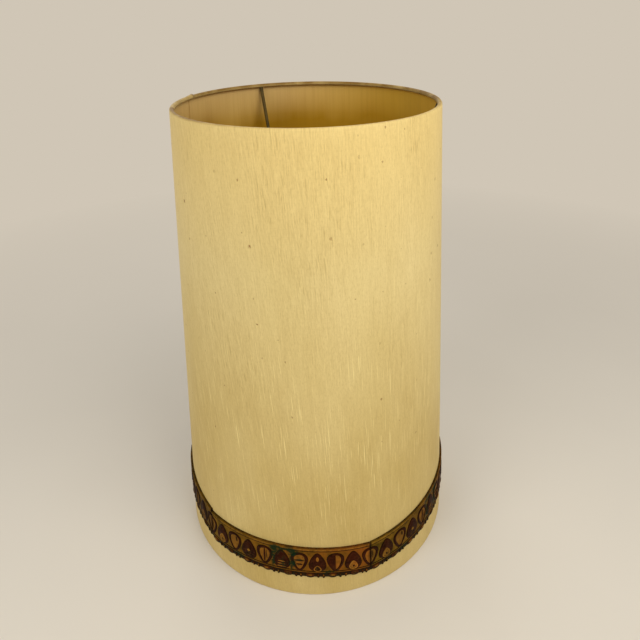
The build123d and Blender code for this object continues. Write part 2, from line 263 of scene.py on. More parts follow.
@dataclass(frozen=True)
class SlubSilk:
    """Pale gold silk with thick and thin threads, on the cover's flat pattern."""

    pale: Colour = tint(233, 212, 150)
    deep: Colour = tint(222, 200, 135)
    golden: Colour = tint(231, 203, 130)
    olive: Colour = tint(195, 167, 91)
    slub: Colour = tint(254, 236, 166)
    shade: Colour = tint(168, 136, 74)
    fleck: Colour = tint(140, 94, 42)
    # Brown of the upper roll: partly real browning, partly painted shade.
    brown_and_shade: Colour = tint(112, 78, 6)
    fleck_cell: float = 0.027
    scatter: float = 0.6

    def flecks(self, pen: NodePen) -> Socket:
        """Scatters small brown flecks, most of them over the upper part.

        Args:
            pen: The material's pen.

        Returns:
            The strength of a fleck, and nought elsewhere.
        """
        cell = 1 / self.fleck_cell
        spread = pen.coords(Place.PATTERN, (cell, cell * 0.7, 1))
        feeds = {"Vector": spread, "Scale": 1.0}
        dots = pen.node("TexVoronoi", feeds, feature="F1", voronoi_dimensions="2D").outputs
        chance = pen.node("SeparateColor", {0: dots["Color"]}).outputs
        ragged = pen.span(pen.weave((520, 420, 1), 3, 0.7), 0.35, 0.65, 0.3, 1.6)
        size = pen.times(pen.span(chance[1], 0.2, 1.0, 0.018, 0.046), ragged)
        dot = pen.sum("LESS_THAN", dots["Distance"], size)
        some = pen.sum("LESS_THAN", chance[0], pen.span(pen.along("Z"), 0.2, 0.45, 0.1, 0.5))
        return pen.times(dot, some, pen.span(chance[2], 0.0, 1.0, 0.3, 0.85))

    def make(self) -> Finish:
        """Makes the material."""
        pen = NodePen("slub_silk")
        tall = pen.along("Z")
        cloud = pen.weave((9, 3, 1), 3, 0.5)
        patch = pen.weave((12, 5, 7), 3, 0.5)
        group = pen.weave((30, 11, 3), 2, 0.5)
        band = pen.weave((130, 8, 9), 3, 0.6)
        weft = pen.weave((90, 1500, 1), 2, 0.5)
        warp = pen.weave((760, 44, 1), 4, 0.66, self.scatter)
        grain = pen.weave((900, 230, 2), 2, 0.6, self.scatter)
        slub = pen.weave((760, 19, 4), 1, 0.5, self.scatter)
        thin = pen.weave((700, 46, 5), 1, 0.5, self.scatter)
        low = pen.times(pen.span(tall, 0.44, 0.24, 0.25, 1.0), pen.span(tall, 0.08, 0.24, 0.2, 1.0))
        high = pen.span(tall, 0.12, 0.4, 0.25, 1.0)
        many = pen.span(group, 0.38, 0.6, 0.2, 1.0)
        worse = pen.span(patch, 0.42, 0.64, 0.1, 1.0)
        thick = pen.times(pen.span(slub, 0.625, 0.68), low, many)
        drawn = pen.times(pen.span(thin, 0.62, 0.71), high, worse)
        # Painted shade: olive patches that grow towards the bottom of the cover.
        low_shade = pen.times(pen.span(patch, 0.35, 0.7, 0.45, 0.8), pen.span(tall, 0.44, 0.19))
        streaked = pen.times(pen.span(band, 0.42, 0.68, 0.0, 0.14), pen.span(tall, 0.5, 0.2, 0.4, 1.0))
        rough = pen.times(pen.span(warp, 0.4, 0.68, 0.0, 0.32), pen.span(patch, 0.38, 0.62, 0.5, 1.0))
        uneven = pen.span(pen.speck(60, 3), 0.3, 0.6, 0.65, 1.0)
        tone = pen.lay(
            pen.blend(pen.span(cloud, 0.3, 0.7), self.deep, self.pale),
            (pen.span(tall, 0.46, 0.58, 0.0, 0.7), self.golden),
            (low_shade, self.olive),
            (streaked, self.shade),
            (rough, self.shade),
            (pen.span(weft, 0.4, 0.8, 0.0, 0.1), self.shade),
            (pen.span(grain, 0.48, 0.75, 0.0, 0.28), self.shade),
            (pen.times(thick, 0.7), self.slub),
            (pen.times(drawn, 0.5), self.shade),
            (self.flecks(pen), self.fleck),
            # Upper roll painted brown: partly real browning, partly painted shade.
            (pen.times(pen.attribute("rim"), uneven), self.brown_and_shade),
        )
        pen.surface(base_color=tone, roughness=pen.span(warp, 0.2, 0.8, 0.5, 0.68))
        pen.surface(sheen_weight=0.04, sheen_roughness=0.35, specular_ior_level=0.2)
        woven = pen.sum("ADD", pen.times(warp, 0.5), pen.times(grain, 0.35))
        pen.bump(pen.sum("ADD", woven, pen.times(thick, 0.6)), 0.3 * MM, 0.7)
        return pen.material


@dataclass(frozen=True)
class AgedCard:
    """Backing card with faint streaks, brown all over, with painted light: a pale painted highlight by the
    rim on the left and a lighter amber over the right side.
    """

    # Pale and rim make the painted highlight by the rim; golden and amber make the painted light on the
    # right side.
    pale: Colour = tint(211, 174, 97)
    rim: Colour = tint(203, 169, 106)
    warm: Colour = tint(164, 123, 20)
    brown: Colour = tint(142, 100, 6)
    stain: Colour = tint(130, 90, 14)
    golden: Colour = tint(208, 164, 58)
    lit_amber: Colour = tint(186, 140, 30)

    def make(self) -> Finish:
        """Makes the material."""
        pen = NodePen("aged_card")
        streak = pen.noise(pen.round_coords(70, 6), 3, 0.6)
        cloud = pen.noise(pen.round_coords(2.5, 4), 3)
        grain = pen.speck(900)
        tall = pen.along("Z")
        edge = pen.sum("ADD", tall, pen.span(cloud, 0.3, 0.7, -0.015, 0.015))
        lit_side = pen.span(pen.along("X"), -0.02, 0.12)
        tone = pen.lay(
            pen.blend(pen.span(cloud, 0.3, 0.7), self.brown, self.warm),
            # Painted light: a lighter amber over the right side, then a painted highlight by the rim, pale
            # on the left and golden on the right.
            (lit_side, self.lit_amber),
            (pen.span(edge, 0.55, 0.603), pen.blend(lit_side, self.pale, self.golden)),
            (pen.span(tall, 0.56, 0.598), pen.blend(lit_side, self.rim, self.golden)),
            (pen.span(streak, 0.45, 0.8, 0.0, 0.16), self.stain),
        )
        pen.surface(base_color=tone, roughness=pen.span(grain, 0.3, 0.7, 0.55, 0.75))
        pen.surface(specular_ior_level=0.15)
        pen.bump(grain, 0.08 * MM, 0.5)
        return pen.material


@dataclass(frozen=True)
class PressedPaint:
    """One painted tone of the pressed trim, worn on its high points, green in its old stains, and darkened
    by dirt with painted shade at the strips' ends and top edge.
    """

    name: str
    deep: Colour
    light: Colour
    warm: Colour
    worn: Colour
    wear: float
    green: Colour = tint(13, 38, 19)
    grime_and_shade: Colour = tint(24, 15, 6)
    rough: float = 0.44

    def make(self) -> Finish:
        """Makes the material."""
        pen = NodePen(self.name)
        cloud = pen.speck(75, 4, 0.6)
        grain = pen.speck(700, 3, 0.6)
        rub = pen.speck(260, 3)
        warmed = pen.times(pen.attribute("run"), pen.span(cloud, 0.35, 0.6, 0.3, 1.0))
        high = pen.times(pen.span(pen.attribute("relief"), 0.72, 0.97), pen.span(rub, 0.44, 0.64))
        ragged = pen.sum("ADD", pen.attribute("stain"), pen.span(rub, 0.3, 0.7, -0.4, 0.4))
        # Dark mark from the stored attribute: dirt, with painted shade at the strip's ends and along its
        # top edge.
        dirt = pen.times(pen.attribute("grime_and_shade"), pen.span(rub, 0.3, 0.6, 0.6, 1.0))
        tone = pen.lay(
            pen.blend(pen.span(cloud, 0.32, 0.68), self.deep, self.light),
            (warmed, self.warm),
            (pen.times(high, self.wear), self.worn),
            (pen.span(ragged, 0.25, 0.8, 0.0, 0.92), self.green),
            (dirt, self.grime_and_shade),
        )
        pen.surface(base_color=tone, specular_ior_level=0.02)
        pen.surface(roughness=pen.span(grain, 0.3, 0.7, self.rough - 0.08, self.rough + 0.16))
        pen.bump(grain, 0.18 * MM, 0.6)
        return pen.material


@dataclass(frozen=True)
class Metal:
    """Bare metal with fine rubbing marks and dull spots."""

    name: str
    bright: Colour
    dull: Colour
    rough: float
    grain: Sequence[float] = (400, 400, 60)

    def make(self) -> Finish:
        """Makes the material."""
        pen = NodePen(self.name)
        spot = pen.speck(160, 4, 0.6)
        mark = pen.noise(pen.coords(Place.OBJECT, self.grain), 3)
        pen.surface(base_color=pen.blend(pen.span(spot, 0.35, 0.7), self.bright, self.dull))
        pen.surface(metallic=1.0, roughness=pen.span(mark, 0.3, 0.7, self.rough - 0.08, self.rough + 0.12))
        pen.bump(mark, 0.05 * MM, 0.4)
        return pen.material


@dataclass(frozen=True)
class Coating:
    """A hard coat such as lacquer, moulded resin, glaze or black glass."""

    name: str
    main: Colour
    other: Colour
    rough: float
    cloud: float
    coat: float = 0.0
    specular: float = 0.5

    def make(self) -> Finish:
        """Makes the material."""
        pen = NodePen(self.name)
        cloud = pen.speck(self.cloud, 4, 0.6)
        fine = pen.speck(self.cloud * 12)
        pen.surface(base_color=pen.blend(pen.span(cloud, 0.38, 0.72), self.main, self.other))
        pen.surface(roughness=pen.span(fine, 0.3, 0.7, self.rough, self.rough + 0.14))
        pen.surface(coat_weight=self.coat, coat_roughness=0.1, specular_ior_level=self.specular)
        pen.bump(fine, 0.04 * MM, 0.4)
        return pen.material


@dataclass(frozen=True)
class PearlGlass:
    """Bulb glass that is frosted on its inside."""

    clear: Colour = tint(246, 245, 241)
    frost: Colour = tint(238, 237, 231)

    def make(self) -> Finish:
        """Makes the material."""
        pen = NodePen("pearl_glass")
        cloud = pen.speck(120, 3)
        pen.surface(base_color=pen.blend(pen.span(cloud, 0.3, 0.7), self.clear, self.frost))
        pen.surface(roughness=pen.span(cloud, 0.3, 0.7, 0.22, 0.32))
        pen.surface(transmission_weight=0.2, ior=1.45, coat_weight=0.6, coat_roughness=0.04)
        return pen.material


@dataclass(frozen=True)
class ShadeWall:
    """The wall line of the shade, from the middle of the lower ring's wire to that of the upper's."""

    low_radius: float
    low_height: float
    high_radius: float
    high_height: float
    wire: float

    @classmethod
    def between(cls, lower: str, upper: str) -> "ShadeWall":
        """Reads the wall line from two ring nodes.

        Args:
            lower: Name of the lower ring's node.
            upper: Name of the upper ring's node.

        Returns:
            The wall line between them.
        """
        low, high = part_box(lower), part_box(upper)
        wire = (low[1].z - low[0].z) / 2
        low_height = (low[0].z + low[1].z) / 2
        high_height = (high[0].z + high[1].z) / 2
        return cls(low[1].x - wire, low_height, high[1].x - wire, high_height, wire)

    @property
    def lean(self) -> float:
        """Angle of the wall from upright, in radians."""
        return math.atan2(self.low_radius - self.high_radius, self.high_height - self.low_height)

    @property
    def length(self) -> float:
        """Length of the wall line."""
        return math.hypot(self.low_radius - self.high_radius, self.high_height - self.low_height)

    def point(self, along: float, out: float, azimuth: float) -> Vector:
        """Gives a point by its place on the wall.

        Args:
            along: Distance up the wall line.
            out: Distance outwards, square to the wall.
            azimuth: Angle round the axis.

        Returns:
            The point in space.
        """
        radius = self.radius(along, out)
        height = self.low_height + along * math.cos(self.lean) + out * math.sin(self.lean)
        return Vector((radius * math.cos(azimuth), radius * math.sin(azimuth), height))

    def along(self, point: Vector) -> float:
        """Gives the distance up the wall line of a point in space."""
        inward = self.low_radius - math.hypot(point.x, point.y)
        return inward * math.sin(self.lean) + (point.z - self.low_height) * math.cos(self.lean)

    def radius(self, along: float, out: float) -> float:
        """Gives the distance from the axis of a place on the wall."""
        return self.low_radius - along * math.sin(self.lean) + out * math.cos(self.lean)


def store(name: str, bm: EditMesh, materials: Sequence[Finish]) -> Piece:
    """Makes an object from a finished mesh and frees the mesh.

    Args:
        name: Name of the piece.
        bm: The finished mesh.
        materials: Its materials, in slot order.

    Returns:
        The object, linked to the scene.
    """
    mesh = bpy.data.meshes.new(name)
    bm.to_mesh(mesh)
    bm.free()
    for material in materials:
        mesh.materials.append(material)
    piece = bpy.data.objects.new(name, mesh)
    bpy.context.scene.collection.objects.link(piece)
    return piece


def smooth(piece: Piece, crease: float) -> None:
    """Shades a piece smooth, apart from edges sharper than crease degrees."""
    piece.data.shade_smooth()
    piece.data.set_sharp_from_angle(angle=math.radians(crease))


@dataclass
class ClothCover:
    """Silk cover that is stretched over both rings, rolled round their wires and glued at a lap."""

    wall: ShadeWall
    silk: Finish
    thickness: float = 0.5 * MM
    glue: float = 0.05 * MM
    hem_turn: float = math.radians(200)
    hem_steps: int = 12
    columns: int = 288
    rows: int = 40
    weld: float = 0.002 * MM
    crease: float = 60.0
    slack: float = 0.45 * MM
    grain_turn: float = math.radians(3)
    lap_azimuth: float = math.radians(153.5)
    lap_width: float = 12 * MM
    lap_rise: float = 0.55 * MM
    lap_puff: float = 1.2
    lap_sweep: float = 0.1
    lap_steps: int = 6
    lap_pattern: float = 0.4
    # Shares of the upper roll's brown, which is partly painted shade.
    brown_and_shade: float = 0.94
    patched: float = 0.62
    patched_swing: float = 32.0
    clean_azimuth: float = math.radians(-72)
    clean_swing: float = 20.0
    clean_share: float = 0.35

    @property
    def roll(self) -> float:
        """Outside radius of the cloth round a ring's wire."""
        return self.wall.wire + self.glue + self.thickness

    def sweep(self, azimuth: float, angle: float, steps: int) -> EditMesh:
        """Draws the cover's section, the wall and the two rolled hems, and spins it round the axis.

        Args:
            azimuth: Angle round the axis at which it starts.
            angle: Angle that it is swept through.
            steps: Number of steps.

        Returns:
            The outer face of the cloth.
        """
        bm = bmesh.new()
        across = Vector((-math.sin(azimuth), math.cos(azimuth), 0))
        foot = bm.verts.new(self.wall.point(0, self.roll, azimuth))
        head = bm.verts.new(self.wall.point(self.wall.length, self.roll, azimuth))
        side = bm.edges.new((foot, head))
        for vert, along, turn in ((foot, 0, self.hem_turn), (head, self.wall.length, -self.hem_turn)):
            centre = self.wall.point(along, 0, azimuth)
            bmesh.ops.spin(bm, geom=[vert], cent=centre, axis=across, angle=turn, steps=self.hem_steps)
        bmesh.ops.subdivide_edges(bm, edges=[side], cuts=self.rows)
        geom = bm.verts[:] + bm.edges[:]
        full = angle == math.tau
        axis = (0, 0, 1)
        bmesh.ops.spin(bm, geom=geom, cent=(0, 0, 0), axis=axis, angle=angle, steps=steps, use_merge=full)
        bmesh.ops.remove_doubles(bm, verts=bm.verts, dist=self.weld)
        bmesh.ops.recalc_face_normals(bm, faces=bm.faces)
        return bm

    def unroll(self, bm: EditMesh, shift: float) -> None:
        """Lays the flat pattern into a UV map, in metres, with its edges at the lap.

        Args:
            bm: Mesh of the cover or its lap.
            shift: Distance by which the pattern is moved.
        """
        layer = bm.loops.layers.uv.new("pattern")
        front = self.lap_azimuth - math.pi
        taper = math.sin(self.wall.lean)
        apex = self.wall.low_radius / taper
        for face in bm.faces:
            centre = face.calc_center_median()
            middle = turned(math.atan2(centre.y, centre.x) - front)
            for loop in face.loops:
                spot = loop.vert.co
                swing = middle + turned(math.atan2(spot.y, spot.x) - front - middle)
                reach = apex - self.wall.along(spot)
                fan = swing * taper + self.grain_turn
                loop[layer].uv = (reach * math.sin(fan) + shift, apex - reach * math.cos(fan))

    def settle(self, bm: EditMesh) -> None:
        """Gives the cloth slight slack between its rims, flattens its foot and marks how brown its upper
        rim is painted, partly as painted shade.

        Args:
            bm: Mesh of the cover.
        """
        rim = bm.verts.layers.float.new("rim")
        for vert in bm.verts:
            vert[rim] = self.rim_brown_and_shade(vert.co)
            share = self.wall.along(vert.co) / self.wall.length
            loose = clipped(min((share - 0.2) / 0.12, (0.97 - share) / 0.1))
            wave = noise.noise(Vector((vert.co.x * 14, vert.co.y * 14, vert.co.z * 3)))
            heading = Vector((vert.co.x, vert.co.y, 0)).normalized()
            vert.co += heading * (0.5 + 0.5 * wave) * loose * self.slack
            vert.co.z = max(vert.co.z, 0.0)

    def rim_brown_and_shade(self, spot: Vector) -> float:
        """Gives how brown the upper roll is painted: partly real browning and partly painted shade. It is
        brownest on the upward face, a little less on the underside as painted light against its shadow,
        and less in front and past the lap.

        Args:
            spot: The place.

        Returns:
            A share from 0 to 1.
        """
        side = math.hypot(spot.x, spot.y) - self.wall.high_radius
        rise = spot.z - self.wall.high_height
        if math.hypot(side, rise) > 1.5 * self.roll:
            return 0.0
        turn = math.degrees(math.atan2(rise, side)) % 360
        # Painted shade: brownest on the roll's upward face, a little paler underneath as painted light
        # against its shadow.
        outer = clipped((turn - 12) / 58) * (turn < 300)
        inner = max(0.75, clipped((230 - turn) / 70))
        azimuth = math.atan2(spot.y, spot.x)
        swing = math.degrees(turned(azimuth - self.lap_azimuth))
        worn = self.patched if 0 < swing < self.patched_swing else self.brown_and_shade
        front = math.degrees(abs(turned(azimuth - self.clean_azimuth)))
        return min(outer, inner) * worn * max(self.clean_share, clipped((front - self.clean_swing) / 50))

    def finish(self, name: str, bm: EditMesh) -> Piece:
        """Gives a piece of cloth its thickness and finish, and lets it ride on the shade.

        Args:
            name: Name of the piece.
            bm: Its outer face.

        Returns:
            The finished piece.
        """
        piece = store(name, bm, [self.silk])
        smooth(piece, self.crease)
        solid = piece.modifiers.new("thickness", "SOLIDIFY")
        solid.thickness = self.thickness
        solid.offset = -1.0
        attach(piece, "shade")
        return piece

    def build(self) -> list[Piece]:
        """Returns:
            The cover and the lap.
        """
        bm = self.sweep(self.lap_azimuth, math.tau, self.columns)
        self.settle(bm)
        self.unroll(bm, 0.0)
        cover = self.finish("silk_cover", bm)
        lap = self.lap()
        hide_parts("cloth_cover")
        return [cover, lap]

    def lap(self) -> Piece:
        """Builds the free edge of the cloth, which is glued over the other edge.

        Returns:
            The lap.
        """
        bm = self.sweep(0.0, self.lap_sweep, self.lap_steps)
        for vert in bm.verts:
            share = math.atan2(vert.co.y, vert.co.x) / self.lap_sweep
            along = self.wall.along(vert.co)
            swing = share * self.lap_width / self.wall.radius(along, self.roll)
            turn = self.lap_azimuth + swing - share * self.lap_sweep
            vert.co = Matrix.Rotation(turn, 3, "Z") @ vert.co
        self.unroll(bm, self.lap_pattern)
        bm.normal_update()
        rim = bm.verts.layers.float.new("rim")
        for vert in bm.verts:
            along = self.wall.along(vert.co)
            swing = turned(math.atan2(vert.co.y, vert.co.x) - self.lap_azimuth)
            share = swing * self.wall.radius(along, self.roll) / self.lap_width
            rolled = along > self.wall.length
            vert[rim] = 1.0 if rolled and share < 0.2 else self.rim_brown_and_shade(vert.co)
            puffed = 1.0 + self.lap_puff * rolled
            vert.co += vert.normal * self.lap_rise * puffed * max(0.06, 1 - share)
            vert.co.z = max(vert.co.z, 0.0)
        return self.finish("silk_lap", bm)


class Tone(Enum):
    """Painted tones of the trim, in the order of its material slots."""

    GROUND = 0
    DROP = 1
    LINE = 2
    EYE = 3
    BEAD = 4


class Drop(Enum):
    """Kinds of drop along a trim strip."""

    EYE = "eye"
    BEAD = "bead"
    BARRED = "barred"
    SLIT = "slit"
    OPEN = "open"
    RIBBED = "ribbed"
    HALF = "half"


Rings = Sequence[tuple[float, float, Tone]]


@dataclass(frozen=True)
class Stain:
    """A green patch in the paint of a strip, by its place from the strip's middle in millimetres."""

    across: float
    up: float
    wide: float
    tall: float
    strength: float

    def at(self, across: float, up: float) -> float:
        """Gives the patch's strength at a place on the strip.

        Args:
            across: The place along the strip, in metres.
            up: The place up the strip, in metres.

        Returns:
            The strength there.
        """
        side = (across - self.across * MM) / (self.wide * MM)
        rise = (up - self.up * MM) / (self.tall * MM)
        return self.strength * math.exp(-(side**2) - rise**2)


@dataclass(frozen=True)
class Strip:
    """How one strip sits, in millimetres, and how warm, green and dirty its paint is, as shares."""

    lift: float
    rise: float
    arch: float
    warmth: float
    green: float
    first_grime: float
    last_grime: float


@dataclass
class TrimBand:
    """Pressed strips of one die round the foot of the shade: a frieze of drops over a row of beads."""

    wall: ShadeWall
    paints: Sequence[Finish]
    strips: Sequence[Strip] = (
        Strip(-0.45, -1.75, 6.4, 1.0, 1.0, 0.0, 0.0),
        Strip(4.5, 9.5, 3.5, 0.7, 0.9, 0.0, 0.45),
        Strip(6.0, -6.0, 3.5, 0.4, 0.3, 0.3, 0.1),
        Strip(1.25, 0.5, 7.0, 0.5, 0.65, 0.1, 0.2),
        Strip(-1.5, 0.5, 0.2, 0.3, 0.2, 0.2, 0.2),
        Strip(10.5, -2.0, 10.5, 0.1, 0.4, 0.3, 0.4),
    )
    short: int = 4
    pitch: float = math.radians(69.5)
    start: float = math.radians(-144.5)
    middle_height: float = 65 * MM
    height: float = 55.5 * MM
    thickness: float = 3.4 * MM
    gap: float = 0.8 * MM
    spare: float = 2 * MM
    back: float = 2.6 * MM
    plate: float = 2.1 * MM
    run_steps: int = 110
    weld: float = 0.001 * MM
    crease: float = 38.0
    drops: int = 10
    drop_width: float = 21.5 * MM
    drop_height: float = 32 * MM
    drop_middle: float = 2.9 * MM
    sunk: float = 0.2 * MM
    outline: float = 2.2 * MM
    egg: float = 0.4
    egg_sides: int = 44
    bead_row: float = -20.9 * MM
    periods: int = 8
    seed: int = 70
    end_grime_and_shade: float = 2.2 * MM
    edge_grime_and_shade: float = 1.4 * MM
    kinds: Sequence[Drop] = tuple(
        Drop(word) for word in "ribbed eye open bead ribbed barred barred slit half eye open".split()
    )
    stains: Sequence[Stain] = (
        Stain(-8.5, 21, 8, 7, 1.0),
        Stain(15.0, 19, 8, 8, 1.0),
        Stain(-11.5, 0.0, 3.5, 15, 0.9),
        Stain(14.5, -4, 4.5, 12, 1.0),
        Stain(25.0, 4, 5, 9, 0.5),
        Stain(2.0, -6, 6, 5, 0.7),
        Stain(3.0, 22, 15, 4, 0.5),
        Stain(-64, -17, 10, 4.5, 0.8),
        Stain(62, -15, 9, 4, 0.6),
        Stain(70, -23, 14, 2.5, 0.6),
    )
    skirt_rings: Rings = ((0.1, 0.4, Tone.LINE), (0.9, 0.05, Tone.LINE))
    dome_rings: Rings = (
        (0.1, 0.75, Tone.DROP),
        (0.7, 0.3, Tone.DROP),
        (1.8, 0.12, Tone.DROP),
        (0.5, -0.2, Tone.LINE),
        (0.5, 0.15, Tone.DROP),
    )
    eye_rings: Rings = (
        (0.1, 1.2, Tone.EYE),
        (0.9, 0.15, Tone.EYE),
        (1.3, -0.1, Tone.EYE),
        (0.3, -0.15, Tone.LINE),
        (0.5, 0.05, Tone.EYE),
    )
    slit_rings: Rings = ((0.1, 1.2, Tone.EYE), (1.4, 0.1, Tone.EYE), (0.3, -0.15, Tone.LINE))
    hollow_rings: Rings = (
        (0.1, 0.75, Tone.DROP),
        (0.7, 0.4, Tone.DROP),
        (1.1, 0.1, Tone.DROP),
        (0.6, -0.35, Tone.DROP),
        (0.2, -0.6, Tone.LINE),
        (0.7, 0.1, Tone.EYE),
        (2.0, 0.15, Tone.EYE),
    )
    fill_rings: Rings = ((0.1, 0.8, Tone.DROP), (0.8, 0.2, Tone.DROP))

    @property
    def steps(self) -> list[float]:
        """Angles that the strips take up, one by one."""
        angles = [self.pitch] * len(self.strips)
        angles[self.short] = math.tau - self.pitch * (len(self.strips) - 1)
        return angles

    @property
    def round(self) -> float:
        """Outer radius of the strips at their middle height."""
        rest = (self.middle_height - self.wall.low_height) / math.cos(self.wall.lean)
        return self.wall.radius(rest, self.back + self.thickness)

    def length(self, angle: float) -> float:
        """Gives the length of a strip that takes up an angle."""
        return self.round * angle - self.gap

    def join(self, bm: EditMesh, small: EditMesh) -> None:
        """Adds a finished small mesh to the strip and frees it.

        Args:
            bm: Mesh of the strip, lying flat.
            small: The small mesh.
        """
        mesh = bpy.data.meshes.new("small")
        small.to_mesh(mesh)
        small.free()
        bm.from_mesh(mesh)
        bpy.data.meshes.remove(mesh)

    def paint(self, faces: Sequence[bmesh.types.BMFace], tone: Tone) -> None:
        """Gives faces a painted tone."""
        for face in faces:
            face.material_index = tone.value

    def knob(
        self,
        bm: EditMesh,
        place: Sequence[float],
        size: Sequence[float],
        tone: Tone,
        turn: float = 0.0,
        fine: int = 12,
    ) -> None:
        """Sets a rounded knob on the strip.

        Args:
            bm: Mesh of the strip, lying flat.
            place: Middle of the knob.
            size: Its half sizes, in millimetres.
            tone: Its painted tone.
            turn: Its turn in the strip's plane.
            fine: Number of segments round it.
        """
        small = bmesh.new()
        pose = Matrix.Translation(place) @ Matrix.Rotation(turn, 4, "Z")
        pose = pose @ Matrix.Diagonal((*(Vector(size) * MM), 1.0))
        high = max(5, fine // 2)
        bmesh.ops.create_uvsphere(small, u_segments=fine, v_segments=high, radius=1.0, matrix=pose)
        self.paint(small.faces, tone)
        self.join(bm, small)

    def press(
        self, bm: EditMesh, place: Vector, size: tuple[float, float], rings: Rings, half: bool = False
    ) -> None:
        """Lays an egg shape on the strip and works it up into relief, ring by ring.

        Args:
            bm: Mesh of the strip, lying flat.
            place: Middle of the egg.
            size: Its width and height; the height is below zero where its thin end is down.
            rings: Width and rise of each ring in millimetres, and its tone; the last is also the middle's.
            half: Whether only the half on the left is kept.
        """
        small = bmesh.new()
        sides = self.egg_sides
        circle = bmesh.ops.create_circle(small, cap_ends=True, segments=sides, radius=1.0)["verts"]
        broad = (1 - math.sqrt(1 + 8 * self.egg**2)) / (4 * self.egg)
        widest = math.sqrt(1 - broad**2) * (1 - self.egg * broad)
        width, height = size
        for vert in circle:
            vert.co.x *= (1 - self.egg * vert.co.y) / widest
            vert.co = place + Vector((vert.co.x * width / 2, vert.co.y * height / 2, 0))
        made = bmesh.ops.extrude_face_region(small, geom=[circle[0].link_faces[0]])["geom"]
        top = next(item for item in made if isinstance(item, bmesh.types.BMFace))
        middle = Matrix.Translation(-place)
        height = abs(height)
        for inset, rise, tone in rings:
            ring = bmesh.ops.inset_individual(small, faces=[top], thickness=0.0)["faces"]
            both = 2 * (inset * MM)
            shrink = (1 - both / width, 1 - both / height, 1)
            bmesh.ops.scale(small, vec=shrink, space=middle, verts=top.verts[:])
            bmesh.ops.translate(small, vec=(0, 0, rise * MM), verts=top.verts[:])
            width -= both
            height -= both
            self.paint([*ring, top], tone)
        if half:
            self.cut(small, place.x, 1)
        self.join(bm, small)

    def cut(self, bm: EditMesh, across: float, side: int) -> None:
        """Cuts a flat mesh square across, clears one side and closes the cut.

        Args:
            bm: The flat mesh.
            across: Where it is cut.
            side: Which side is cleared, 1 or -1.
        """
        geom = bm.verts[:] + bm.edges[:] + bm.faces[:]
        plane = {"plane_co": (across, 0, 0), "plane_no": (side, 0, 0)}
        made = bmesh.ops.bisect_plane(bm, geom=geom, dist=1e-7, clear_outer=True, **plane)
        edges = [item for item in made["geom_cut"] if isinstance(item, bmesh.types.BMEdge)]
        bmesh.ops.holes_fill(bm, edges=edges, sides=0)

    def skirt(self, bm: EditMesh, base: Vector, size: tuple[float, float]) -> None:
        """Lays the dark outline under a drop."""
        wide, tall = size[0] + self.outline, size[1] + math.copysign(self.outline, size[1])
        self.press(bm, base, (wide, tall), self.skirt_rings)

    def solid_drop(self, bm: EditMesh, across: float, kind: Drop) -> None:
        """Makes an upright drop, solid, with what stands on it.

        Args:
            bm: Mesh of the strip, lying flat.
            across: Its place along the strip.
            kind: Kind of drop.
        """
        base = Vector((across, self.drop_middle, self.plate - self.sunk))
        size = (self.drop_width, self.drop_height)
        self.skirt(bm, base, size)
        self.press(bm, base, size, self.dome_rings)
        top = base.z + 1.1 * MM
        foot = self.drop_middle - self.drop_height / 2
        if kind is Drop.EYE:
            eye = Vector((across, foot + 8.2 * MM, base.z))
            self.press(bm, eye, (12.5 * MM, 16.0 * MM), self.eye_rings)
            pupil = (across + 0.3 * MM, foot + 6.4 * MM, top + 0.05 * MM)
            self.knob(bm, pupil, (1.7, 2.0, 0.3), Tone.LINE, fine=10)
        elif kind is Drop.BEAD:
            self.knob(bm, (across, foot + 6.0 * MM, top - 0.3 * MM), (6.4, 2.6, 0.6), Tone.LINE)
            self.knob(bm, (across, foot + 12.6 * MM, top), (3.8, 4.0, 0.35), Tone.LINE)
            self.knob(bm, (across, foot + 13.4 * MM, top + 0.1 * MM), (2.6, 2.8, 0.3), Tone.EYE)
        elif kind is Drop.BARRED:
            for level in (3.4, 8.2, 12.6):
                bar = (across, foot + level * MM, top)
                self.knob(bm, bar, (6.6 - level * 0.12, 0.9, 0.35), Tone.EYE)
        else:
            self.knob(bm, (across, foot + 22.5 * MM, top), (1.9, 4.2, 0.35), Tone.EYE)
            slit = Vector((across, foot + 5.6 * MM, base.z))
            self.press(bm, slit, (10.5 * MM, 11.0 * MM), self.slit_rings)

    def open_drop(self, bm: EditMesh, across: float, kind: Drop) -> None:
        """Makes a drop with its thin end down, as a rim round a golden hollow.

        Args:
            bm: Mesh of the strip, lying flat.
            across: Its place along the strip.
            kind: Kind of drop.
        """
        base = Vector((across, self.drop_middle - 0.4 * MM, self.plate - self.sunk))
        size = (self.drop_width, -self.drop_height)
        self.skirt(bm, base, size)
        self.press(bm, base, size, self.hollow_rings)
        floor = base.z + 0.55 * MM
        if kind is Drop.RIBBED:
            rib = Vector((across, self.drop_middle, floor))
            self.knob(bm, rib, (1.3, 13.4, 0.8), Tone.DROP)
            self.knob(bm, rib + Vector((3.0, 2.0, 0)) * MM, (0.6, 8.0, 0.45), Tone.LINE, turn=0.06)
        elif kind is Drop.BARRED:
            for level, long in ((-4.6, 4.6), (2.4, 6.8)):
                bar = (across, self.drop_middle + level * MM, floor)
                self.knob(bm, bar, (long, 1.4, 0.8), Tone.DROP)
        elif kind is Drop.HALF:
            inner = (self.drop_width - 4.5 * MM, 4.5 * MM - self.drop_height)
            fill = Vector((across, base.y, floor - 0.1 * MM))
            self.press(bm, fill, inner, self.fill_rings, half=True)
        else:
            leaf = (across + 3.6 * MM, self.drop_middle + 6.5 * MM, floor)
            self.knob(bm, leaf, (1.4, 4.6, 0.5), Tone.LINE, turn=0.12)

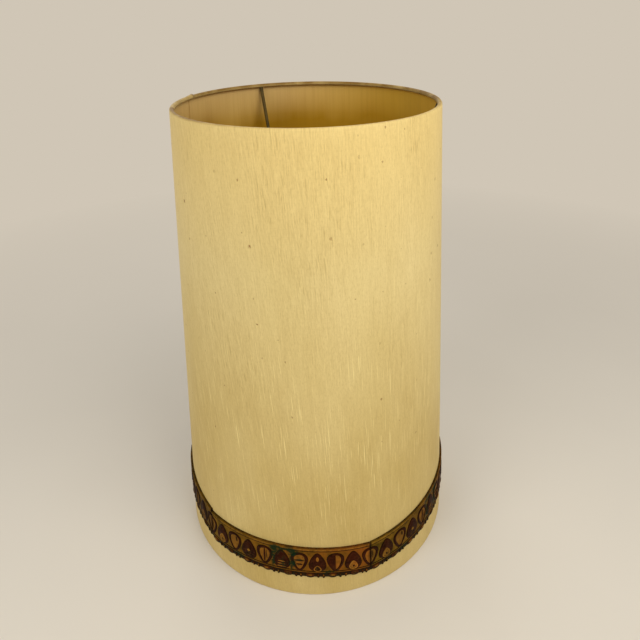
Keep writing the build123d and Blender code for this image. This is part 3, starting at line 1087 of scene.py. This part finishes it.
    def bar(self, bm: EditMesh, length: float) -> None:
        """Draws the strip's section and runs it past both ends: back, bead row, ground and two ribs.

        Args:
            bm: Mesh of the strip, lying flat.
            length: Length of the strip.
        """
        half = self.height / 2 / MM
        plate = self.plate / MM
        section = (
            (-25.0, 0.0, Tone.LINE),
            (-25.0, 1.2, Tone.LINE),
            (-24.4, 1.6, Tone.LINE),
            (-16.6, 1.6, Tone.LINE),
            (-16.1, 2.3, Tone.GROUND),
            (-15.2, 2.6, Tone.GROUND),
            (-14.5, 2.5, Tone.LINE),
            (-14.0, plate, Tone.LINE),
            (-13.2, plate, Tone.GROUND),
            *((level, plate, Tone.GROUND) for level in (-9.0, -3.0, 3.0, 9.0, 15.0)),
            (half - 6.0, plate, Tone.LINE),
            (half - 5.8, plate - 0.3, Tone.LINE),
            (half - 4.2, plate - 0.3, Tone.LINE),
            (half - 3.9, 2.8, Tone.GROUND),
            (half - 3.2, 3.1, Tone.GROUND),
            (half - 1.2, 3.1, Tone.GROUND),
            (half - 0.6, 2.8, Tone.GROUND),
            (half - 0.1, 2.2, Tone.GROUND),
            (half, 1.6, Tone.GROUND),
            (half, 0.0, Tone.GROUND),
        )
        start = -length / 2 - self.spare
        verts = [bm.verts.new((start, up * MM, out * MM)) for up, out, tone in section]
        edges = [bm.edges.new((verts[i - 1], verts[i])) for i in range(len(verts))]
        stride = Vector(((length + 2 * self.spare) / self.run_steps, 0, 0))
        still = {"cent": (0, 0, 0), "axis": (0, 0, 1), "angle": 0.0}
        bmesh.ops.spin(bm, geom=verts + edges, steps=self.run_steps, dvec=stride, **still)
        for face in bm.faces:
            up = face.calc_center_median().y / MM
            below = [tone for low, out, tone in section if low < up and out]
            self.paint([face], below[-1] if below else Tone.LINE)

    def beads(self, bm: EditMesh, length: float) -> None:
        """Hangs the row of long beads and short teeth from the strip's lower edge.

        Args:
            bm: Mesh of the strip, lying flat.
            length: Length of the strip.
        """
        chance = random.Random(self.seed)
        for index in range(self.periods):
            start = -length / 2 + index * (length / self.periods)
            place = Vector((start + 8.0 * MM, self.bead_row, 1.2 * MM))
            core = Tone.LINE if index % 3 == 1 else Tone.EYE
            self.knob(bm, place + Vector((0, -0.9, 0)) * MM, (6.8, 4.9, 1.3), Tone.LINE, fine=16)
            self.knob(bm, place + Vector((0, 0.3, 0.8)) * MM, (5.6, 3.5, 1.0), Tone.BEAD, fine=14)
            self.knob(bm, place + Vector((0, 0.6, 1.6)) * MM, (2.8, 1.5, 0.4), core, fine=10)
            for tooth, glint in enumerate((Tone.BEAD, Tone.GROUND)):
                across = start + (18.6 + tooth * 6.6 + chance.uniform(-0.6, 0.6)) * MM
                long = 4.6 + chance.uniform(-0.5, 0.4)
                wide = 2.1 + chance.uniform(-0.4, 0.3)
                spot = Vector((across, self.bead_row - 1.8 * MM, 1.1 * MM))
                self.knob(bm, spot, (wide, long, 1.4), Tone.LINE, chance.uniform(-0.1, 0.1), 10)
                self.knob(bm, spot + Vector((0, 1.2, 1.1)) * MM, (0.9, 1.9, 0.5), glint, fine=8)

    def die(self) -> bpy.types.Mesh:
        """Models one whole strip, lying flat, and stores its relief, stains, run and its dirt with painted
        shade on it.

        Returns:
            The flat strip, a little longer than it is cut.
        """
        length = self.length(self.pitch)
        bm = bmesh.new()
        self.bar(bm, length)
        for number, kind in enumerate(self.kinds):
            across = (number - self.drops / 2) * length / self.drops
            if number % 2:
                self.solid_drop(bm, across, kind)
            else:
                self.open_drop(bm, across, kind)
        self.beads(bm, length)
        for name in ("relief", "stain", "run", "grime_and_shade"):
            bm.verts.layers.float.new(name)
        layers = bm.verts.layers.float
        for vert in bm.verts:
            across, up, out = vert.co
            vert[layers["relief"]] = out / self.thickness
            vert[layers["stain"]] = min(1.0, sum(spot.at(across, up) for spot in self.stains))
            vert[layers["run"]] = clipped(0.5 + across / length)
            # Darker at the strip's ends and along its top edge: dirt, and painted shade where strips meet
            # and where the edge meets the cloth.
            ends = 1 - (length / 2 - abs(across)) / self.end_grime_and_shade
            edge = 0.8 * (1 - (self.height / 2 - up) / self.edge_grime_and_shade)
            vert[layers["grime_and_shade"]] = max(0.0, min(0.9, max(ends, edge)))
        flat = bpy.data.meshes.new("trim_die")
        bm.to_mesh(flat)
        bm.free()
        return flat

    def age(self, bm: EditMesh, strip: Strip, length: float) -> None:
        """Sets how warm, green and dirty one strip's paint has become along its length.

        Args:
            bm: Mesh of the strip, lying flat.
            strip: Which strip.
            length: Length of the strip.
        """
        layers = bm.verts.layers.float
        run, stain, grime_and_shade = layers["run"], layers["stain"], layers["grime_and_shade"]
        for vert in bm.verts:
            share = 0.5 + vert.co.x / length
            dirt = strip.first_grime + (strip.last_grime - strip.first_grime) * share
            vert[run] *= strip.warmth
            vert[stain] *= strip.green
            vert[grime_and_shade] = max(vert[grime_and_shade], dirt)

    def wrap(self, bm: EditMesh, strip: Strip, azimuth: float, half: float) -> None:
        """Bends a flat strip on to the shade, arched along its length.

        Args:
            bm: Mesh of the strip, lying flat.
            strip: Which strip.
            azimuth: Angle of its middle round the axis.
            half: Half of the angle that it covers.
        """
        lean = self.wall.lean
        for vert in bm.verts:
            across, up, out = vert.co
            swing = across / self.round
            sag = strip.arch * (1 - math.cos(swing)) / (1 - math.cos(half))
            climb = strip.lift + strip.rise * math.sin(swing) / math.sin(half) - sag
            out = self.back + max(0.0, min(out, self.thickness))
            height = self.middle_height + up + climb * MM
            along = (height - self.wall.low_height - out * math.sin(lean)) / math.cos(lean)
            vert.co = self.wall.point(along, out, azimuth + swing)

    def fit(self, flat: bpy.types.Mesh, index: int) -> Piece:
        """Cuts one strip to its length and bends it on.

        Args:
            flat: The whole flat strip.
            index: Which strip, from 0.

        Returns:
            The strip, in place.
        """
        strip = self.strips[index]
        angle = self.steps[index]
        length = self.length(angle)
        bm = bmesh.new()
        bm.from_mesh(flat)
        shift = (self.length(self.pitch) - length) / 2
        bmesh.ops.translate(bm, vec=(shift, 0, 0), verts=bm.verts)
        for side in (-1, 1):
            self.cut(bm, side * length / 2, side)
        self.age(bm, strip, length)
        self.wrap(bm, strip, self.start + sum(self.steps[:index]) + angle / 2, length / 2 / self.round)
        bmesh.ops.remove_doubles(bm, verts=bm.verts, dist=self.weld)
        bmesh.ops.recalc_face_normals(bm, faces=bm.faces)
        piece = store(f"pressed_trim_{index + 1}", bm, self.paints)
        smooth(piece, self.crease)
        return piece

    def build(self) -> list[Piece]:
        """Builds all the strips in place of the plain ones.

        Returns:
            The strips.
        """
        made = []
        flat = self.die()
        for index in range(len(self.strips)):
            piece = self.fit(flat, index)
            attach(piece, "shade")
            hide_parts(f"trim_piece_{index + 1}")
            made.append(piece)
        bpy.data.meshes.remove(flat)
        return made


@dataclass
class Hardware:
    """Wire frame, lampholder and bulb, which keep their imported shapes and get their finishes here."""

    silk: Finish
    ground: Finish
    # Pale ring wire: a cream coat, made light as painted light in the shadow under the upper roll.
    wire: Coating = Coating("pale_wire", tint(228, 192, 122), tint(206, 168, 98), 0.5, 140, 0.0, 0.15)
    lacquer: Coating = Coating("brown_lacquer", tint(66, 53, 18), tint(90, 72, 28), 0.55, 140, 0.0, 0.15)
    resin: Coating = Coating("dark_resin", tint(34, 24, 18), tint(52, 34, 24), 0.2, 60, 0.3)
    glaze: Coating = Coating("white_glaze", tint(238, 234, 224), tint(222, 214, 198), 0.14, 50, 0.4)
    black: Coating = Coating("black_glass", tint(18, 18, 20), tint(32, 32, 36), 0.12, 80, 0.3)
    brass: Metal = Metal("dull_brass", tint(206, 170, 96), tint(150, 112, 58), 0.32)
    steel: Metal = Metal("plain_steel", tint(186, 186, 184), tint(140, 138, 132), 0.34)
    rolled: Metal = Metal("rolled_metal", tint(222, 220, 214), tint(178, 174, 166), 0.28)

    def dress(self, finish: Finish, *nodes: str) -> list[Piece]:
        """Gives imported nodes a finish.

        Args:
            finish: The finish.
            *nodes: Names of the nodes.

        Returns:
            The dressed objects.
        """
        made = [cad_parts[name] for name in nodes]
        for piece in made:
            if not piece.material_slots:
                piece.data.materials.append(None)
            for holder in piece.material_slots:
                holder.material = finish
        return made

    def build(self) -> list[Piece]:
        """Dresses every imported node.

        Returns:
            The dressed objects.
        """
        arms = [f"drop_arm_{number}" for number in (1, 2, 3)]
        strips = [f"trim_piece_{number}" for number in range(1, 7)]
        made = self.dress(AgedCard().make(), "backing_sheet")
        made += self.dress(self.wire.make(), "upper_ring", "lower_ring")
        made += self.dress(self.lacquer.make(), "carrier_ring", *arms)
        clamps = ("upper_shade_ring", "lower_shade_ring")
        made += self.dress(self.resin.make(), "holder_body", "holder_cap", *clamps)
        contacts = ("terminal_screws", "centre_contact", "thread_shell")
        made += self.dress(self.brass.make(), "entry_bush", *contacts)
        made += self.dress(self.steel.make(), "grub_screw", "lead_wires", "filament")
        made += self.dress(self.glaze.make(), "holder_insert")
        made += self.dress(self.rolled.make(), "bulb_cap", "bulb_contact")
        made += self.dress(self.black.make(), "bulb_insulator")
        made += self.dress(PearlGlass().make(), "bulb_glass", "bulb_stem")
        made += self.dress(self.silk, "cloth_cover")
        made += self.dress(self.ground, *strips)
        return made


@dataclass(frozen=True)
class Lamp:
    """A soft square lamp that points at a height on the shade's axis."""

    name: str
    place: Colour
    aim: float
    size: float
    power: float
    colour: Colour

    def hang(self) -> None:
        """Hangs the lamp."""
        light = bpy.data.lights.new(self.name, "AREA")
        light.size = self.size
        light.energy = self.power
        light.color = self.colour
        lamp = bpy.data.objects.new(self.name, light)
        lamp.location = self.place
        way = Vector((0, 0, self.aim)) - Vector(self.place)
        lamp.rotation_euler = way.to_track_quat("-Z", "Y").to_euler()
        bpy.context.scene.collection.objects.link(lamp)


@dataclass
class Studio:
    """Wide pale floor that fades into a pale room, soft lamps and the camera."""

    pale: Colour = tint(220, 213, 200)
    grey: Colour = tint(214, 207, 194)
    room: Colour = tint(208, 198, 182)
    daylight: Colour = (1.0, 0.98, 0.95)
    daylight_strength: float = 0.45
    lamps: Sequence[Lamp] = (
        Lamp("key", (0.5, -0.72, 1.22), 0.5, 0.8, 8.9, (1.0, 0.97, 0.92)),
        Lamp("side", (1.2, -0.35, 1.2), 0.4, 0.6, 1.0, (1.0, 0.97, 0.92)),
        Lamp("fill", (-1.1, -0.9, 1.5), 0.5, 0.9, 7.2, (1.0, 0.98, 0.95)),
        Lamp("back", (-0.35, 1.5, 1.35), 0.3, 1.0, 5.0, (1.0, 0.98, 0.95)),
        Lamp("low_fill", (-1.1, -0.7, 0.8), 0.4, 0.8, 2.0, (1.0, 0.98, 0.95)),
    )
    floor_radius: float = 9.0
    fade_start: float = 0.45
    fade_end: float = 1.7
    lens: float = 30.34
    sensor: float = 36.0
    eye: Vector = Vector((-0.0558, -0.6318, 0.7001))
    yaw: float = math.radians(-5.972)
    dip: float = math.radians(31.199)
    roll: float = math.radians(-1.209)

    def seen(self, pen: NodePen) -> Socket:
        """Gives one for what the camera sees, also in metal or through glass, and nought for other light.

        Args:
            pen: Pen of the floor's material or the world.

        Returns:
            One or nought.
        """
        path = pen.node("LightPath").outputs
        plain = pen.sum("ADD", path["Is Camera Ray"], path["Is Glossy Ray"])
        return pen.sum("MINIMUM", pen.sum("ADD", plain, path["Is Transmission Ray"]), 1.0)

    def floor(self) -> None:
        """Builds the floor, which takes on the room's tone away from the shade."""
        pen = NodePen("pale_board")
        pen.surface(base_color=pen.blend(pen.speck(3), self.pale, self.grey), roughness=0.6)
        spot = pen.node("TexCoord").outputs["Object"]
        reach = pen.node("VectorMath", {0: spot}, operation="LENGTH").outputs["Value"]
        share = pen.times(pen.span(reach, self.fade_start, self.fade_end), self.seen(pen))
        glow = pen.node("Emission", {"Color": self.room})
        mixed = pen.node("MixShader", {0: share, 1: pen.shader.outputs[0], 2: glow.outputs[0]})
        pen.feed(pen.tree.nodes["Material Output"].inputs["Surface"], mixed.outputs[0])
        bm = bmesh.new()
        bmesh.ops.create_circle(bm, cap_ends=True, segments=96, radius=self.floor_radius)
        bmesh.ops.recalc_face_normals(bm, faces=bm.faces)
        store("pale_floor", bm, [pen.material])

    def sky(self) -> bpy.types.World:
        """Makes the room: soft light on the shade and a pale tone where it is seen.

        Returns:
            The world.
        """
        pen = NodePen("soft_room", "worlds")
        light = pen.tree.nodes["Background"]
        pen.feed(light.inputs["Color"], self.daylight)
        pen.feed(light.inputs["Strength"], self.daylight_strength)
        view = pen.node("Background", {"Color": self.room})
        mixed = pen.node("MixShader", {0: self.seen(pen), 1: light.outputs[0], 2: view.outputs[0]})
        pen.feed(pen.tree.nodes["World Output"].inputs["Surface"], mixed.outputs[0])
        return pen.material

    def camera(self) -> Piece:
        """Sets up the camera.

        Returns:
            The camera, linked to the scene.
        """
        data = bpy.data.cameras.new("photo_view")
        data.lens = self.lens
        data.sensor_width = self.sensor
        camera = bpy.data.objects.new("photo_view", data)
        turn = Matrix.Rotation(self.yaw, 4, "Z") @ Matrix.Rotation(math.pi / 2 - self.dip, 4, "X")
        camera.matrix_world = Matrix.Translation(self.eye) @ (turn @ Matrix.Rotation(self.roll, 4, "Z"))
        bpy.context.scene.collection.objects.link(camera)
        return camera

    def build(self) -> None:
        """Sets the floor, the lamps, the world and the camera."""
        scene = bpy.context.scene
        scene.view_settings.view_transform = "Standard"
        self.floor()
        for lamp in self.lamps:
            lamp.hang()
        scene.world = self.sky()
        scene.camera = self.camera()


def trim_paints() -> list[Finish]:
    """Mixes the trim's paints.

    Returns:
        The paints, in the order of the tones.
    """
    gold = tint(176, 126, 46)
    rows = (
        ("trim_ground", tint(70, 53, 8), tint(126, 93, 20), tint(130, 72, 18), gold, 0.45),
        ("trim_drop", tint(30, 11, 3), tint(47, 18, 5), tint(56, 20, 6), tint(112, 60, 24), 0.2),
        ("trim_line", tint(25, 15, 4), tint(43, 28, 8), tint(44, 24, 6), gold, 0.12),
        ("trim_eye", tint(94, 64, 16), tint(132, 92, 30), tint(146, 86, 26), gold, 0.4),
        ("trim_bead", tint(46, 22, 8), tint(76, 38, 12), tint(80, 38, 12), gold, 0.3),
    )
    return [PressedPaint(*row).make() for row in rows]


def main() -> None:
    """Builds the scene, from the studio to the trim."""
    logging.basicConfig(level=logging.INFO, format="%(name)s: %(message)s")
    wall = ShadeWall.between("lower_ring", "upper_ring")
    silk = SlubSilk().make()
    paints = trim_paints()
    Studio().build()
    for piece in Hardware(silk, paints[Tone.GROUND.value]).build():
        LOG.info("dressed %s", piece.name)
    for piece in ClothCover(wall, silk).build() + TrimBand(wall, paints).build():
        LOG.info("built %s with %d faces", piece.name, len(piece.data.polygons))


if __name__ == "__main__":
    main()
